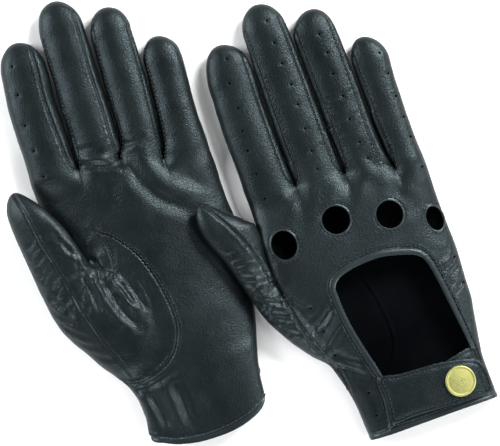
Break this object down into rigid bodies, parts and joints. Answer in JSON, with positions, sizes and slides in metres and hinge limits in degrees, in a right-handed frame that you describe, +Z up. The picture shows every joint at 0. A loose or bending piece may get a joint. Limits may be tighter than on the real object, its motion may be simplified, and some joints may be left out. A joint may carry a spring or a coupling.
{
  "type": "leather driving gloves",
  "caption": "Pair of unlined leather driving gloves with knuckle holes, a bound opening over the back of each hand and a snap wrist strap, laid flat.",
  "frame": {"origin": "centre of the bounding box, on the surface the gloves lie on", "axes": "+Y towards the fingertips, +X from the left glove (palm up) to the right glove (back up), +Z up"},
  "size_m": [0.2065, 0.2634, 0.0232],
  "materials": {
    "leather": "soft semi-gloss black lambskin, fine grain",
    "leather_edge": "folded binding and fourchette leather, semi-gloss",
    "leather_lining": "napped flesh side, matt",
    "brass": "pale satin plated snap"
  },
  "bodies": {
    "l_hand": {"l_palm_panel": "leather", "l_thumb_gusset": "leather", "l_thumb_gusset_back": "leather", "l_thumb_quirk": "leather_edge", "l_back_panel": "leather", "l_opening_binding": "leather_edge", "l_knuckle_facings": "leather_edge", "l_cuff_hem": "leather_edge", "l_underlap_tab": "leather_lining", "l_snap_stud": "brass"},
    "l_strap_flap": {"l_strap": "leather", "l_snap_cap": "brass", "l_snap_socket": "brass"},
    "l_thumb": {"l_thumb_front": "leather", "l_thumb_back": "leather"},
    "l_index": {"l_index_front": "leather", "l_index_back": "leather", "l_index_fourchette": "leather_edge"},
    "l_middle": {"l_middle_front": "leather", "l_middle_back": "leather", "l_middle_fourchettes": "leather_edge"},
    "l_ring": {"l_ring_front": "leather", "l_ring_back": "leather", "l_ring_fourchettes": "leather_edge"},
    "l_little": {"l_little_front": "leather", "l_little_back": "leather", "l_little_fourchette": "leather_edge"},
    "r_hand": {"r_palm_panel": "leather", "r_thumb_gusset": "leather", "r_thumb_gusset_back": "leather", "r_thumb_quirk": "leather_edge", "r_back_panel": "leather", "r_opening_binding": "leather_edge", "r_knuckle_facings": "leather_edge", "r_cuff_hem": "leather_edge", "r_underlap_tab": "leather_lining", "r_snap_stud": "brass"},
    "r_strap_flap": {"r_strap": "leather", "r_snap_cap": "brass", "r_snap_socket": "brass"},
    "r_thumb": {"r_thumb_front": "leather", "r_thumb_back": "leather"},
    "r_index": {"r_index_front": "leather", "r_index_back": "leather", "r_index_fourchette": "leather_edge"},
    "r_middle": {"r_middle_front": "leather", "r_middle_back": "leather", "r_middle_fourchettes": "leather_edge"},
    "r_ring": {"r_ring_front": "leather", "r_ring_back": "leather", "r_ring_fourchettes": "leather_edge"},
    "r_little": {"r_little_front": "leather", "r_little_back": "leather", "r_little_fourchette": "leather_edge"}
  },
  "joints": [
    {"name": "l_index_curl", "type": "hinge", "parent": "l_hand", "child": "l_index", "pos_m": [-0.0741, 0.04765, 0.01435], "axis": [1, 0, 0], "range_deg": [0, 75]},
    {"name": "l_middle_curl", "type": "hinge", "parent": "l_hand", "child": "l_middle", "pos_m": [-0.05, 0.04665, 0.01435], "axis": [1, 0, 0], "range_deg": [0, 75]},
    {"name": "l_ring_curl", "type": "hinge", "parent": "l_hand", "child": "l_ring", "pos_m": [-0.0285, 0.04465, 0.01435], "axis": [1, 0, 0], "range_deg": [0, 75]},
    {"name": "l_little_curl", "type": "hinge", "parent": "l_hand", "child": "l_little", "pos_m": [-0.0071, 0.03815, 0.01435], "axis": [1, 0, 0], "range_deg": [0, 75]},
    {"name": "r_index_curl", "type": "hinge", "parent": "r_hand", "child": "r_index", "pos_m": [0.0231, 0.00285, 0], "axis": [-1, 0, 0], "range_deg": [0, 75]},
    {"name": "r_middle_curl", "type": "hinge", "parent": "r_hand", "child": "r_middle", "pos_m": [0.0495, 0.00185, 0], "axis": [-1, 0, 0], "range_deg": [0, 75]},
    {"name": "r_ring_curl", "type": "hinge", "parent": "r_hand", "child": "r_ring", "pos_m": [0.0727, -0.00065, 0], "axis": [-1, 0, 0], "range_deg": [0, 75]},
    {"name": "r_little_curl", "type": "hinge", "parent": "r_hand", "child": "r_little", "pos_m": [0.0943, -0.00665, 0], "axis": [-1, 0, 0], "range_deg": [0, 75]},
    {"name": "l_thumb_fold", "type": "hinge", "parent": "l_hand", "child": "l_thumb", "pos_m": [-0.0879, 0.00185, 0.018], "axis": [0.9782, 0.0684, 0.1961], "range_deg": [0, 35]},
    {"name": "r_thumb_lift", "type": "hinge", "parent": "r_hand", "child": "r_thumb", "pos_m": [0.0013, -0.03445, 0.0202], "axis": [0.9807, 0.1553, -0.1191], "range_deg": [0, 35]},
    {"name": "r_strap_open", "type": "hinge", "parent": "r_hand", "child": "r_strap_flap", "pos_m": [0.04055, -0.12525, 0.0156], "axis": [-0.0808, -0.9967, 0], "range_deg": [0, 140]},
    {"name": "l_strap_open", "type": "hinge", "parent": "l_hand", "child": "l_strap_flap", "pos_m": [-0.06365, -0.09095, 0.002], "axis": [0.0808, 0.9967, 0], "range_deg": [0, 140]},
    {"name": "gloves_apart", "type": "slide", "parent": "l_hand", "child": "r_hand", "axis": [0, 0, 1], "range_m": [0, 0.06]}
  ]
}
